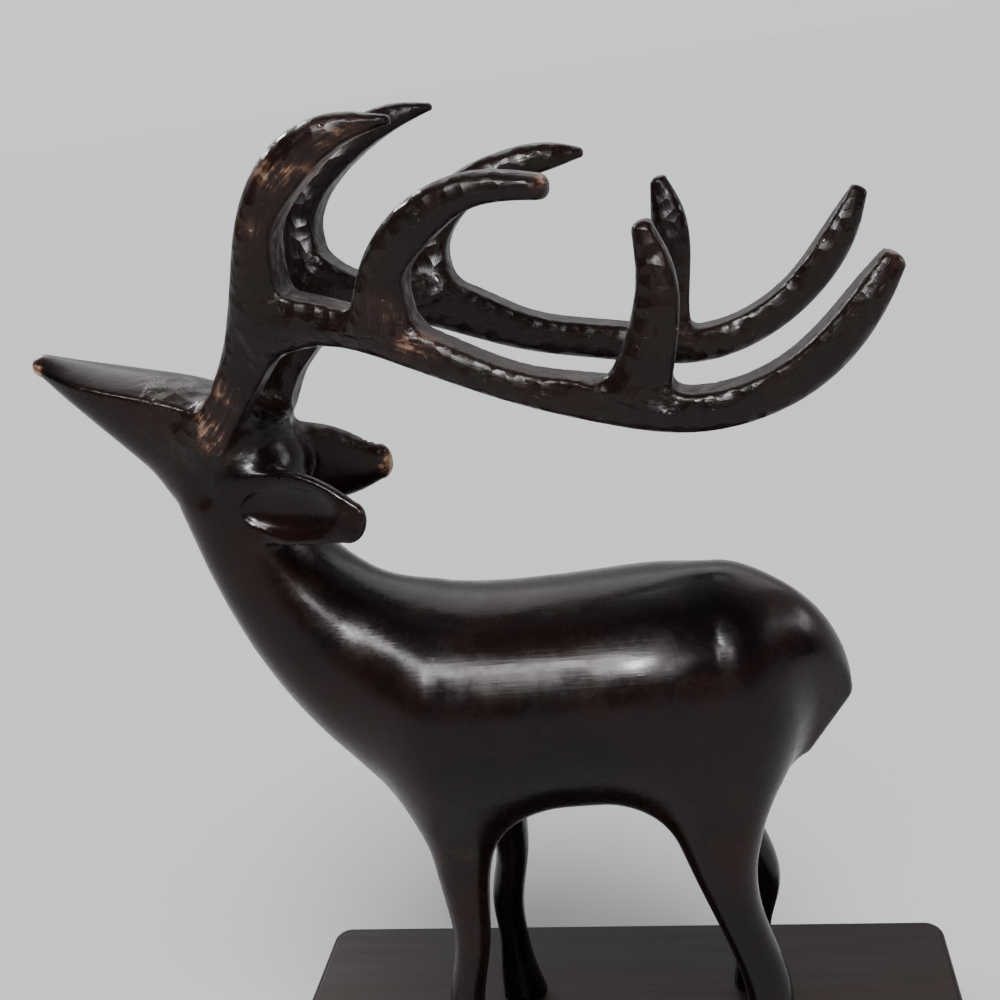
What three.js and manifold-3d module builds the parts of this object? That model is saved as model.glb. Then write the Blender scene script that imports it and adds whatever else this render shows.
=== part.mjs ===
// Small stag statue: one metal casting of a stag with its head thrown back,
// standing on a separate wooden board. Millimetres, +Z up, the nose points to -X.
// Origin: the centre of the board's underside.
import * as THREE from 'three';
import * as BufferGeometryUtils from 'three/addons/utils/BufferGeometryUtils.js';
import Module from 'manifold-3d';

// ---------------------------------------------------------------- board sizes
const BASE_LENGTH = 186;      // along X
const BASE_WIDTH = 93;        // along Y
const BASE_HEIGHT = 18;
const BASE_CORNER_R = 5;      // plan radius of the four corners
const BASE_EDGE_R = 2;        // rounded upper and lower edges
const REST_GAP = 0.3;         // hooves to board
const SOLE_Z = BASE_HEIGHT + REST_GAP;

// ---------------------------------------------------------------- stag sizes
// A limb is a smooth curve through a few stations. Each station gives
// x, y, z, half width across the animal, half height in the limb's own plane.
const FAR_FORELEG_STEP = 5;   // the far foreleg stands this much further back

// rump, loin, back, withers
const TORSO = [[38.6, 0, 131.2, 21.5, 26.4], [29, 0, 130.5, 24.8, 27.4], [6, 0, 129.4, 26.3, 27],
  [-15.5, 0, 128.7, 25.8, 26.4], [-26.7, 0, 129, 24, 24.4]];
// chest, shoulder, throat, poll
const NECK = [[-24.4, 0, 120.9, 19, 21.8], [-37.5, 0, 133.2, 20, 21.9], [-51.2, 0, 146.6, 17.5, 19],
  [-63.6, 0, 165.2, 14.5, 14.2], [-70.7, 0, 189.2, 12.3, 12.5]];
// brow to nose; the stations lie on the flat bridge
const MUZZLE = [[-64.5, 0, 205.8, 11.2, 13.8], [-73.2, 0, 210.1, 11, 22], [-86.6, 0, 214.2, 10.4, 16.4],
  [-99.5, 0, 217.9, 8, 7], [-107.2, 0, 220.5, 4.2, 2.6]];
const BRIDGE_CROWN = 2.4;     // how much the bridge rises between its two edges
// hip, thigh, stifle, gaskin, hock, cannon, pastern, hoof
const HIND_LEG = [[28.6, -9, 125.7, 9.5, 18.1], [33.3, -13.5, 105.7, 9.2, 12.6], [34.3, -17, 91.6, 7.4, 7.9],
  [38.2, -20, 74, 5.8, 5.2], [42.2, -22, 55.1, 5.2, 5.3], [40, -22.6, 41, 4.4, 4.3], [39.1, -22.9, 28, 4.7, 5.1],
  [38.9, -23, 16, 5.5, 6.7]];
// shoulder, elbow, forearm, knee, cannon, pastern, hoof
const FORE_LEG = [[-19.6, -9, 121.6, 10, 16.2], [-26.2, -12.5, 103, 9, 9.8], [-28.1, -15.5, 86.4, 6.6, 6],
  [-28.6, -17.5, 69.8, 5.4, 4.4], [-32.4, -18.7, 52.6, 4.9, 4.3], [-32.9, -19.3, 40, 4.3, 4],
  [-33.1, -19.4, 28, 4.7, 5], [-32.4, -19.6, 16, 5.5, 6.7]];
const EAR = [[-63.5, -9.8, 184.2, 4, 7], [-53.6, -13, 185.8, 4.2, 8.4], [-43, -16.2, 184.4, 3.8, 6.5],
  [-37.6, -17.3, 182.7, 2.8, 4.6]];
const FAR_EAR = [[-61.5, 8, 191.5, 5.5, 9.6], [-52.5, 12.5, 187, 4.6, 10.2], [-44.3, 16, 185, 3.6, 7.2],
  [-39.4, 17.1, 184.6, 2.6, 4.6]];
// antlers: brow trunk with the first point, beam with the end point, second and third points
const BROW = [[-70.6, -6.5, 200.9, 5, 5.9], [-65.4, -9, 204.8, 4.6, 5.6], [-56.6, -11, 215.2, 4.8, 5.7],
  [-48.5, -13.5, 227.9, 5.4, 7.1], [-43.6, -17, 245.7, 5.2, 4.8], [-33.8, -20, 256.7, 4.6, 5.4],
  [-22.3, -22.3, 262, 3.4, 3.4], [-13.3, -22.8, 262.5, 1.2, 1.1]];
const BEAM = [[-47.8, -13.5, 227.7, 5, 8.5], [-34.3, -18, 226.8, 4.6, 5.2], [-15.1, -24, 221.3, 4.5, 4.6],
  [6.4, -29, 212.4, 4.5, 3.9], [22.4, -33, 209.1, 4.5, 4.8], [37.6, -36.3, 206.7, 4.4, 4.4],
  [58, -38.5, 213.5, 4, 4.5], [69.3, -38.6, 225.9, 3.6, 3.4], [71.7, -38.6, 229.3, 2.4, 2.7]];
const POINT_2 = [[-19.5, -24, 225.2, 4.2, 8], [-17, -26, 236.1, 4.2, 5.2], [-10.1, -29, 243.3, 4.2, 4.9],
  [2.2, -31.5, 248.9, 4, 3.5], [13.9, -32.5, 248.1, 3.6, 2.5]];
const POINT_3 = [[28.2, -35.2, 209.8, 4.3, 6.8], [30.7, -35.5, 216.6, 4.2, 5.5], [33.4, -35.6, 230.8, 3.8, 3.9],
  [31.8, -35.6, 239.2, 2.4, 2.2]];
const FAR_BROW = [[-68.3, 6.5, 199.2, 6, 7.4], [-62.2, 9, 202.4, 5.4, 7.6], [-56, 11, 211.8, 5, 6.6],
  [-46.6, 13.5, 224.3, 5.4, 7], [-46.5, 17, 241.3, 5.2, 4.9], [-34, 20, 256.8, 4.6, 4.3],
  [-23.1, 22.3, 261.6, 3.4, 3.2], [-15.1, 22.8, 262.7, 1.2, 1.1]];
const FAR_BEAM = [[-45.4, 13.5, 231.2, 5, 7.4], [-34.4, 18, 224.9, 4.6, 5], [-20.9, 24, 220.8, 4.5, 6.4],
  [-2, 29, 210.8, 4.5, 5.2], [17.4, 33, 204.9, 4.5, 5], [41.6, 36.8, 201, 4.4, 4.8], [62.9, 38.5, 211, 4, 4.6],
  [73.3, 38.6, 224.8, 3.4, 3.8], [76.5, 38.6, 230.9, 1.6, 2.3]];
const FAR_POINT_2 = [[-20, 24, 222.1, 4.2, 6.7], [-20.2, 26, 232.6, 4.2, 5.4], [-12.3, 29, 242.7, 4.2, 4.7],
  [-1.8, 31.5, 246.7, 4, 4.2], [9.5, 32.5, 248, 3.4, 3.2], [15.6, 32.7, 248, 1.5, 1.4]];
const FAR_POINT_3 = [[31.1, 35.2, 203.1, 4.3, 7.5], [33.3, 35.5, 212, 4.2, 5], [34.4, 35.6, 231.5, 3.6, 4.3],
  [32.9, 35.6, 239.2, 1.8, 2.2]];
// croup: the rounded back of the rump, which narrows to the tail between two flat sides
const CROUP_CENTRE = [36.6, 0, 126], CROUP_R = [29.7, 18, 31.5];
const TAIL_TIP = [66.1, 124.5], TAIL_ROOT = [55.2, 110.6];
const TAIL_SIDE = [[59.2, -10, 141.9], [66, -1.8, 125.3], [55.4, -5.5, 115]];
// oval hollow in the outer face of each ear
const EAR_HOLLOW = { at: [-51.6, -16, 186], r: [13, 3.5, 6.2], tilt: 0.06, turn: -0.29 };
const SKULL = { at: [-61.5, 0, 191.5], r: [10.5, 12.5, 9.5] };
const EYE = { at: [-73.6, -12.9, 190.8], r: [3.6, 1.1, 2.8] };

// blends between limbs, as fillet widths
const FILLET = { withers: 16, head: 6, leg: 11, tail: 3, skull: 5, ear: 3, point: 3, antler: 3.5 };

// ---------------------------------------------------------------- curve maths
const dot = (a, b) => a[0] * b[0] + a[1] * b[1] + a[2] * b[2];
const cross = (a, b) => [a[1] * b[2] - a[2] * b[1], a[2] * b[0] - a[0] * b[2], a[0] * b[1] - a[1] * b[0]];
const unit = (a) => { const l = Math.hypot(...a) || 1; return a.map((v) => v / l); };

// natural cubic spline by chord length, every column of the stations
function smooth(stations, steps) {
  const n = stations.length, cols = stations[0].length;
  const h = [];
  for (let i = 0; i < n - 1; i++) {
    h.push(Math.max(1e-3, Math.hypot(
      stations[i + 1][0] - stations[i][0], stations[i + 1][1] - stations[i][1], stations[i + 1][2] - stations[i][2])));
  }
  const m = stations.map(() => new Array(cols).fill(0));
  for (let c = 0; c < cols; c++) {
    const a = [], b = [], r = [];
    for (let i = 1; i < n - 1; i++) {
      a.push(2 * (h[i - 1] + h[i])); b.push(h[i]);
      r.push(6 * ((stations[i + 1][c] - stations[i][c]) / h[i] - (stations[i][c] - stations[i - 1][c]) / h[i - 1]));
    }
    for (let i = 1; i < a.length; i++) { const w = b[i - 1] / a[i - 1]; a[i] -= w * b[i - 1]; r[i] -= w * r[i - 1]; }
    for (let i = a.length - 1; i >= 0; i--) {
      m[i + 1][c] = (r[i] - (i < a.length - 1 ? b[i] * m[i + 2][c] : 0)) / a[i];
    }
  }
  const out = [];
  for (let i = 0; i < n - 1; i++) {
    for (let j = 0; j < steps; j++) {
      const t = (j / steps) * h[i], u = h[i] - t, row = [];
      for (let c = 0; c < cols; c++) {
        row.push((m[i][c] * u ** 3 + m[i + 1][c] * t ** 3) / (6 * h[i])
          + (stations[i][c] / h[i] - (m[i][c] * h[i]) / 6) * u
          + (stations[i + 1][c] / h[i] - (m[i + 1][c] * h[i]) / 6) * t);
      }
      out.push(row);
    }
  }
  out.push([...stations[n - 1]]);
  return out;
}

// rounded joins of two distances
const join = (a, b, k) => { const q = Math.max(k - Math.abs(a - b), 0) / k; return Math.min(a, b) - q * q * k * 0.25; };
const cut = (a, b, k) => -join(-a, -b, k);

// A limb: an elliptical or slightly squared section swept along the curve.
// flat: [side of the in-plane normal, fraction of the half height, edge radius, crown]
// face: [side across the animal, fraction of the half width, edge radius]
function limb(stations, { across = [0, 1, 0], power = 2.15, ends = [2, 1.2], flat = null, face = null, steps = 6 } = {}) {
  const st = smooth(stations, steps), n = st.length;
  const P = st.map((s) => s.slice(0, 3));
  const A = st.map((s) => Math.max(s[3], 0.9)), B = st.map((s) => Math.max(s[4], 0.9));
  const T = P.map((p, i) => {
    if (i === 0) return unit(P[1].map((v, c) => v - P[0][c]));
    if (i === n - 1) return unit(P[n - 1].map((v, c) => v - P[n - 2][c]));
    return unit(P[i + 1].map((v, c) => v - P[i - 1][c]));
  });
  const L = T.map((t) => { const d = dot(t, across); return unit(across.map((v, c) => v - d * t[c])); });
  const N = T.map((t, i) => cross(L[i], t));
  const lo = [Infinity, Infinity, Infinity], hi = [-Infinity, -Infinity, -Infinity];
  P.forEach((p, i) => p.forEach((v, c) => {
    const r = Math.max(A[i], B[i]) + Math.max(...ends);
    lo[c] = Math.min(lo[c], v - r); hi[c] = Math.max(hi[c], v + r);
  }));
  const seg = [];
  for (let i = 0; i < n - 1; i++) {
    const d = P[i + 1].map((v, c) => v - P[i][c]);
    seg.push([P[i][0], P[i][1], P[i][2], d[0], d[1], d[2], dot(d, d)]);
  }
  return (x, y, z) => {
    const bx = Math.max(lo[0] - x, 0, x - hi[0]), by = Math.max(lo[1] - y, 0, y - hi[1]), bz = Math.max(lo[2] - z, 0, z - hi[2]);
    const far = Math.hypot(bx, by, bz);
    if (far > 18) return far;
    let best = Infinity, bi = 0, bt = 0, raw = 0;
    for (let i = 0; i < seg.length; i++) {
      const s = seg[i], qx = x - s[0], qy = y - s[1], qz = z - s[2];
      const r = (qx * s[3] + qy * s[4] + qz * s[5]) / s[6];
      const t = r < 0 ? 0 : r > 1 ? 1 : r;
      const ex = qx - t * s[3], ey = qy - t * s[4], ez = qz - t * s[5];
      const d2 = ex * ex + ey * ey + ez * ez;
      if (d2 < best) { best = d2; bi = i; bt = t; raw = r; }
    }
    const i = bi, t = bt, j = i + 1, mix = (X, c) => X[i][c] * (1 - t) + X[j][c] * t;
    const a = A[i] * (1 - t) + A[j] * t, b = B[i] * (1 - t) + B[j] * t;
    const rx = x - mix(P, 0), ry = y - mix(P, 1), rz = z - mix(P, 2);
    const u = rx * mix(L, 0) + ry * mix(L, 1) + rz * mix(L, 2);
    const v = rx * mix(N, 0) + ry * mix(N, 1) + rz * mix(N, 2);
    const atStart = i === 0 && raw < 0, atEnd = i === seg.length - 1 && raw > 1;
    const w = atStart || atEnd ? rx * mix(T, 0) + ry * mix(T, 1) + rz * mix(T, 2) : 0;
    const c = atStart ? ends[0] : ends[1];
    const U = Math.abs(u) / a, V = Math.abs(v) / b, W = Math.abs(w) / c;
    const kk = (U ** power + V ** power + 1e-9) ** (1 / power);
    const k0 = Math.sqrt(kk * kk + W * W) + 1e-9;
    const g = kk ** (1 - power), gu = (g * U ** (power - 1)) / a, gv = (g * V ** (power - 1)) / b;
    const grad = Math.sqrt((kk / k0) ** 2 * (gu * gu + gv * gv) + (W / k0 / c) ** 2) + 1e-6;
    let d = (k0 - 1) / grad;
    if (flat) {
      const [side, fraction, round, crown] = flat;
      d = crown ? cut(d, (side * v - crown * (1 - Math.min(Math.abs(u) / a, 1.3) ** 2)) * 0.93, round)
        : cut(d, side * v - fraction * b, round);
    }
    if (face) d = cut(d, face[0] * u - face[1] * a, face[2]);
    return d;
  };
}

function ellipsoid(at, r, tilt = 0, turn = 0) {
  const cs = Math.cos(tilt), sn = Math.sin(tilt), ct = Math.cos(turn), st = Math.sin(turn);
  return (x, y, z) => {
    const ex = x - at[0], ey = y - at[1], dz = z - at[2];
    const dx = ex * ct + ey * st, qy = ey * ct - ex * st;
    const qx = dx * cs + dz * sn, qz = -dx * sn + dz * cs;
    const k0 = Math.hypot(qx / r[0], qy / r[1], qz / r[2]) + 1e-9;
    const k1 = Math.hypot(qx / r[0] ** 2, qy / r[1] ** 2, qz / r[2] ** 2) + 1e-9;
    return (k0 * (k0 - 1)) / k1;
  };
}

// ---------------------------------------------------------------- the stag
const INNER = 0.35;           // edge radius of the filed inner band of the antlers
const body = {
  torso: limb(TORSO, { ends: [18.5, 12] }),
  neck: limb(NECK, { ends: [12, 14] }),
  muzzle: limb(MUZZLE, { power: 2.3, ends: [12, 3.4], flat: [1, 0, 0.9, BRIDGE_CROWN] }),
  hind: limb(HIND_LEG, { ends: [10, 2] }),
  fore: limb(FORE_LEG, { ends: [10, 2] }),
  ear: limb(EAR, { power: 2.3, ends: [3, 3.6], across: [0, 1, -0.15], face: [-1, 0.32, 0.35] }),
  farEar: limb(FAR_EAR, { power: 2.3, ends: [3, 3.2], across: [0, 1, 0.15], face: [1, 0.55, 0.5] }),
};
const antlers = [
  [[BROW, [2, 1.2], [1, 0.72]], [BEAM, [2, 1.6], [-1, 0.76]], [POINT_2, [0.8, 2.4], [1, 0.76]], [POINT_3, [0.8, 1.6], [1, 0.8]]],
  [[FAR_BROW, [2, 1.2], [1, 0.72]], [FAR_BEAM, [2, 1.2], [-1, 0.76]], [FAR_POINT_2, [0.8, 1.2], [1, 0.76]], [FAR_POINT_3, [0.8, 1.2], [1, 0.8]]],
].map((side) => side.map(([stations, ends, [s, f]]) => limb(stations, { power: 2.5, ends, flat: [s, f, INNER] })));

const hollowNear = ellipsoid(EAR_HOLLOW.at, EAR_HOLLOW.r, EAR_HOLLOW.tilt, EAR_HOLLOW.turn);
const eyeNear = ellipsoid(EYE.at, EYE.r, 0.5);
const croup = ellipsoid(CROUP_CENTRE, CROUP_R);
const skull = ellipsoid(SKULL.at, SKULL.r);
const tailSide = (() => {
  const [a, b, c] = TAIL_SIDE;
  return unit(cross(b.map((v, i) => v - a[i]), c.map((v, i) => v - a[i]))).map((v) => -v);
})();
const tailEdge = (() => {
  const dx = TAIL_ROOT[0] - TAIL_TIP[0], dz = TAIL_ROOT[1] - TAIL_TIP[1], l = Math.hypot(dx, dz);
  return [-dz / l, dx / l];
})();

function tail(x, y, z) {
  let d = croup(x, y, z);
  d = cut(d, dot([x - TAIL_SIDE[0][0], -Math.abs(y) - TAIL_SIDE[0][1], z - TAIL_SIDE[0][2]], tailSide), 0.7);
  d = cut(d, (x - TAIL_TIP[0]) * tailEdge[0] + (z - TAIL_TIP[1]) * tailEdge[1], 1.0);
  return cut(d, TAIL_ROOT[1] + 0.5 - z, 1.0);
}

function stag(x, y, z) {
  let d = join(join(body.torso(x, y, z), body.neck(x, y, z), FILLET.withers), body.muzzle(x, y, z), FILLET.head);
  for (const leg of [body.hind(x, y, z), body.hind(x, -y, z), body.fore(x, y, z), body.fore(x - FAR_FORELEG_STEP, -y, z)]) {
    d = join(d, leg, FILLET.leg);
  }
  d = join(d, tail(x, y, z), FILLET.tail);
  d = join(d, skull(x, y, z), FILLET.skull);
  d = cut(d, -eyeNear(x, -Math.abs(y), z), 2.2);
  d = join(d, body.ear(x, y, z), FILLET.ear);
  d = join(d, body.farEar(x, y, z), FILLET.ear);
  d = cut(d, -hollowNear(x, y, z), 0.7);
  d = cut(d, -hollowNear(x - 1.5, -y, z - 1.6), 0.7);
  for (const [brow, beam, second, third] of antlers) {
    let a = join(brow(x, y, z), beam(x, y, z), FILLET.point);
    a = join(a, second(x, y, z), FILLET.point);
    a = join(a, third(x, y, z), FILLET.point);
    d = join(d, a, FILLET.antler);
  }
  return Math.max(d, SOLE_Z - z);
}

// ---------------------------------------------------------------- surface
// The casting's skin is drawn on a cubic grid, six tetrahedra to a cube.
function skin(field, lo, hi, step, block = 4) {
  const size = lo.map((v, c) => Math.ceil((hi[c] - v) / (step * block)));
  const span = size.map((v) => v * block + 1);
  const cube = step * block, reach = cube * 1.75;
  const at = (i, j, k) => (i * span[1] + j) * span[2] + k;
  const grid = new Float32Array(span[0] * span[1] * span[2]).fill(NaN);
  const blocks = [];
  for (let i = 0; i < size[0]; i++) for (let j = 0; j < size[1]; j++) for (let k = 0; k < size[2]; k++) {
    const c = field(lo[0] + (i + 0.5) * cube, lo[1] + (j + 0.5) * cube, lo[2] + (k + 0.5) * cube);
    if (Math.abs(c) < reach) blocks.push([i * block, j * block, k * block]);
  }
  for (const [bi, bj, bk] of blocks) {
    for (let i = bi; i <= bi + block; i++) for (let j = bj; j <= bj + block; j++) for (let k = bk; k <= bk + block; k++) {
      const id = at(i, j, k);
      if (Number.isNaN(grid[id])) {
        const v = field(lo[0] + i * step, lo[1] + j * step, lo[2] + k * step);
        grid[id] = Math.abs(v) < step * 0.02 ? step * 0.02 : v;
      }
    }
  }
  const corner = [[0, 0, 0], [1, 0, 0], [1, 1, 0], [0, 1, 0], [0, 0, 1], [1, 0, 1], [1, 1, 1], [0, 1, 1]];
  const tets = [[0, 5, 1, 6], [0, 1, 2, 6], [0, 2, 3, 6], [0, 3, 7, 6], [0, 7, 4, 6], [0, 4, 5, 6]];
  const points = [], faces = [], seen = new Map(), total = grid.length;
  const crossing = (a, b, pa, pb) => {
    const key = a < b ? a * total + b : b * total + a;
    let id = seen.get(key);
    if (id === undefined) {
      const t = grid[a] / (grid[a] - grid[b]);
      id = points.length / 3;
      points.push(pa[0] + t * (pb[0] - pa[0]), pa[1] + t * (pb[1] - pa[1]), pa[2] + t * (pb[2] - pa[2]));
      seen.set(key, id);
    }
    return id;
  };
  const put = (a, b, c, inside) => {
    const p = (i) => [points[3 * i], points[3 * i + 1], points[3 * i + 2]];
    const A = p(a), e1 = p(b).map((v, q) => v - A[q]), e2 = p(c).map((v, q) => v - A[q]), n = cross(e1, e2);
    const out = dot(n, A.map((v, q) => v - inside[q])) > 0;
    faces.push(a, out ? b : c, out ? c : b);
  };
  for (const [bi, bj, bk] of blocks) {
    for (let i = bi; i < bi + block; i++) for (let j = bj; j < bj + block; j++) for (let k = bk; k < bk + block; k++) {
      const ids = [], pos = [];
      let inside = 0;
      for (const [a, b, c] of corner) {
        const id = at(i + a, j + b, k + c);
        ids.push(id); pos.push([lo[0] + (i + a) * step, lo[1] + (j + b) * step, lo[2] + (k + c) * step]);
        if (grid[id] < 0) inside++;
      }
      if (inside === 0 || inside === 8) continue;
      for (const t of tets) {
        const neg = t.filter((c) => grid[ids[c]] < 0), pos4 = t.filter((c) => grid[ids[c]] >= 0);
        const X = (a, b) => crossing(ids[a], ids[b], pos[a], pos[b]);
        if (neg.length === 1) put(X(neg[0], pos4[0]), X(neg[0], pos4[1]), X(neg[0], pos4[2]), pos[neg[0]]);
        else if (neg.length === 3) {
          const m = [0, 1, 2].map((c) => (pos[neg[0]][c] + pos[neg[1]][c] + pos[neg[2]][c]) / 3);
          put(X(neg[0], pos4[0]), X(neg[1], pos4[0]), X(neg[2], pos4[0]), m);
        } else if (neg.length === 2) {
          const a = X(neg[0], pos4[0]), b = X(neg[0], pos4[1]), c = X(neg[1], pos4[1]), e = X(neg[1], pos4[0]);
          const m = [0, 1, 2].map((q) => (pos[neg[0]][q] + pos[neg[1]][q]) / 2);
          put(a, b, c, m); put(a, c, e, m);
        }
      }
    }
  }
  return { points, faces };
}

// Merge small facets where the surface bends least, keeping it closed.
function simplify({ points, faces }, target, maxEdge) {
  const nv = points.length / 3, V = new Float64Array(points), Q = new Float64Array(nv * 10);
  const F = [], alive = [], around = Array.from({ length: nv }, () => new Set());
  const P = (i) => [V[3 * i], V[3 * i + 1], V[3 * i + 2]];
  const normal = (a, b, c) => cross([b[0] - a[0], b[1] - a[1], b[2] - a[2]], [c[0] - a[0], c[1] - a[1], c[2] - a[2]]);
  for (let f = 0; f < faces.length; f += 3) {
    const t = [faces[f], faces[f + 1], faces[f + 2]];
    if (t[0] === t[1] || t[1] === t[2] || t[0] === t[2]) continue;
    const id = F.length; F.push(t); alive.push(true);
    const a = P(t[0]), n = normal(a, P(t[1]), P(t[2])), l = Math.hypot(...n);
    t.forEach((v) => around[v].add(id));
    if (l < 1e-12) continue;
    const [x, y, z] = n.map((c) => c / l), w = -(x * a[0] + y * a[1] + z * a[2]), s = l * 0.5;
    const q = [x * x, x * y, x * z, x * w, y * y, y * z, y * w, z * z, z * w, w * w];
    for (const v of t) for (let c = 0; c < 10; c++) Q[10 * v + c] += q[c] * s;
  }
  let count = F.length;
  const version = new Int32Array(nv), dead = new Uint8Array(nv);
  const heapK = [], heapD = [];
  const push = (k, d) => {
    let i = heapK.length; heapK.push(k); heapD.push(d);
    while (i > 0) { const p = (i - 1) >> 1; if (heapK[p] <= heapK[i]) break; [heapK[p], heapK[i]] = [heapK[i], heapK[p]]; [heapD[p], heapD[i]] = [heapD[i], heapD[p]]; i = p; }
  };
  const pop = () => {
    const k = heapK[0], d = heapD[0], lk = heapK.pop(), ld = heapD.pop();
    if (heapK.length) {
      heapK[0] = lk; heapD[0] = ld; let i = 0;
      for (;;) {
        let l = 2 * i + 1; if (l >= heapK.length) break;
        if (l + 1 < heapK.length && heapK[l + 1] < heapK[l]) l++;
        if (heapK[i] <= heapK[l]) break;
        [heapK[l], heapK[i]] = [heapK[i], heapK[l]]; [heapD[l], heapD[i]] = [heapD[i], heapD[l]]; i = l;
      }
    }
    return [k, d];
  };
  const error = (q, p) => q[0] * p[0] * p[0] + 2 * q[1] * p[0] * p[1] + 2 * q[2] * p[0] * p[2] + 2 * q[3] * p[0]
    + q[4] * p[1] * p[1] + 2 * q[5] * p[1] * p[2] + 2 * q[6] * p[1] + q[7] * p[2] * p[2] + 2 * q[8] * p[2] + q[9];
  const plan = (a, b) => {
    const q = []; for (let c = 0; c < 10; c++) q.push(Q[10 * a + c] + Q[10 * b + c]);
    const pa = P(a), pb = P(b), mid = pa.map((v, c) => (v + pb[c]) / 2), len = Math.hypot(...pa.map((v, c) => v - pb[c]));
    const r = 1e-3 * (q[0] + q[4] + q[7]) + 1e-9;   // a light pull to the edge's middle keeps thin spots in place
    const A = [[q[0] + r, q[1], q[2]], [q[1], q[4] + r, q[5]], [q[2], q[5], q[7] + r]];
    const B = [-q[3] + r * mid[0], -q[6] + r * mid[1], -q[8] + r * mid[2]];
    const det = dot(A[0], cross(A[1], A[2]));
    let best = mid;
    if (Math.abs(det) > 1e-12) {
      const col = (i) => A.map((row, j) => row.map((v, c) => (c === i ? B[j] : v)));
      const p = [0, 1, 2].map((i) => { const m = col(i); return dot(m[0], cross(m[1], m[2])) / det; });
      if (Math.hypot(...p.map((v, c) => v - mid[c])) < len) best = p;
    }
    const e = Math.max(error(q, best), 0) + 1e-7 * len * len + (len > maxEdge ? (len - maxEdge) * 0.5 : 0);
    return [e, best];
  };
  const neighbours = (v) => { const s = new Set(); for (const f of around[v]) for (const w of F[f]) if (w !== v) s.add(w); return s; };
  const queue = (a, b) => { const [e, p] = plan(a, b); push(e, [a, b, version[a], version[b], p]); };
  for (let pass = 0, before = Infinity; pass < 6 && count > target && count < before; pass++) {
  before = count; heapK.length = 0; heapD.length = 0;
  for (let v = 0; v < nv; v++) if (!dead[v]) for (const w of neighbours(v)) if (w > v) queue(v, w);
  while (count > target && heapK.length) {
    const [, [a, b, va, vb, p]] = pop();
    if (dead[a] || dead[b] || version[a] !== va || version[b] !== vb) continue;
    const na = neighbours(a), nb = neighbours(b);
    let shared = 0; for (const w of na) if (nb.has(w)) shared++;
    if (shared !== 2) continue;
    const both = [...around[a]].filter((f) => around[b].has(f));
    if (both.length !== 2) continue;
    let ok = true;
    for (const v of [a, b]) for (const f of around[v]) {
      if (both.includes(f)) continue;
      const t = F[f], before = normal(P(t[0]), P(t[1]), P(t[2])), q = t.map((w) => (w === v ? p : P(w)));
      const after = normal(q[0], q[1], q[2]), lb = Math.hypot(...before), la = Math.hypot(...after);
      const e = Math.max(Math.hypot(...q[0].map((c, i) => c - q[1][i])), Math.hypot(...q[1].map((c, i) => c - q[2][i])), Math.hypot(...q[2].map((c, i) => c - q[0][i])));
      const was = Math.max(...[0, 1, 2].map((i) => Math.hypot(...P(t[i]).map((c, k) => c - P(t[(i + 1) % 3])[k]))));
      const shape = Math.min(0.07, (0.9 * lb) / (was * was + 1e-12));
      if (la < shape * e * e || dot(before, after) < 0.35 * lb * la) { ok = false; break; }
    }
    if (!ok) continue;
    for (const f of both) { alive[f] = false; for (const w of F[f]) around[w].delete(f); count--; }
    for (const f of around[b]) { F[f] = F[f].map((w) => (w === b ? a : w)); around[a].add(f); }
    around[b].clear(); dead[b] = 1; version[a]++;
    for (let c = 0; c < 3; c++) V[3 * a + c] = p[c];
    for (let c = 0; c < 10; c++) Q[10 * a + c] += Q[10 * b + c];
    for (const w of neighbours(a)) queue(a, w);
  }
  }
  const map = new Map(), outP = [], outF = [];
  F.forEach((t, f) => {
    if (!alive[f]) return;
    for (const v of t) {
      if (!map.has(v)) { map.set(v, map.size); outP.push(V[3 * v], V[3 * v + 1], V[3 * v + 2]); }
      outF.push(map.get(v));
    }
  });
  return { points: outP, faces: outF };
}

function toGeometry({ points, faces }) {
  const g = new THREE.BufferGeometry();
  g.setAttribute('position', new THREE.BufferAttribute(new Float32Array(points), 3));
  g.setIndex(faces);
  return g;
}

const STAG_TRIANGLES = 7600;
const SKIN_STEP = 1.7;
const rough = skin(stag, [-122, -52, SOLE_Z - 3.1], [92, 52, 272], SKIN_STEP);
const light = simplify(rough, STAG_TRIANGLES, 14);
for (let i = 2; i < light.points.length; i += 3) {
  if (light.points[i] < SOLE_Z + 0.12) light.points[i] = SOLE_Z;   // the soles are flat
}

// joined once through a solid library, which also proves the skin closed
const wasm = await Module();
wasm.setup();
function solid(geometry) {
  const g = geometry.clone();
  g.deleteAttribute('normal'); g.deleteAttribute('uv');
  const m = BufferGeometryUtils.mergeVertices(g, 1e-4);
  return new wasm.Manifold(new wasm.Mesh({
    numProp: 3, vertProperties: new Float32Array(m.attributes.position.array), triVerts: new Uint32Array(m.index.array),
  }));
}
function fromSolid(s) {
  const m = s.getMesh(), g = new THREE.BufferGeometry();
  g.setAttribute('position', new THREE.BufferAttribute(new Float32Array(m.vertProperties), 3));
  g.setIndex(Array.from(m.triVerts));
  g.computeVertexNormals();
  return g;
}

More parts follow.
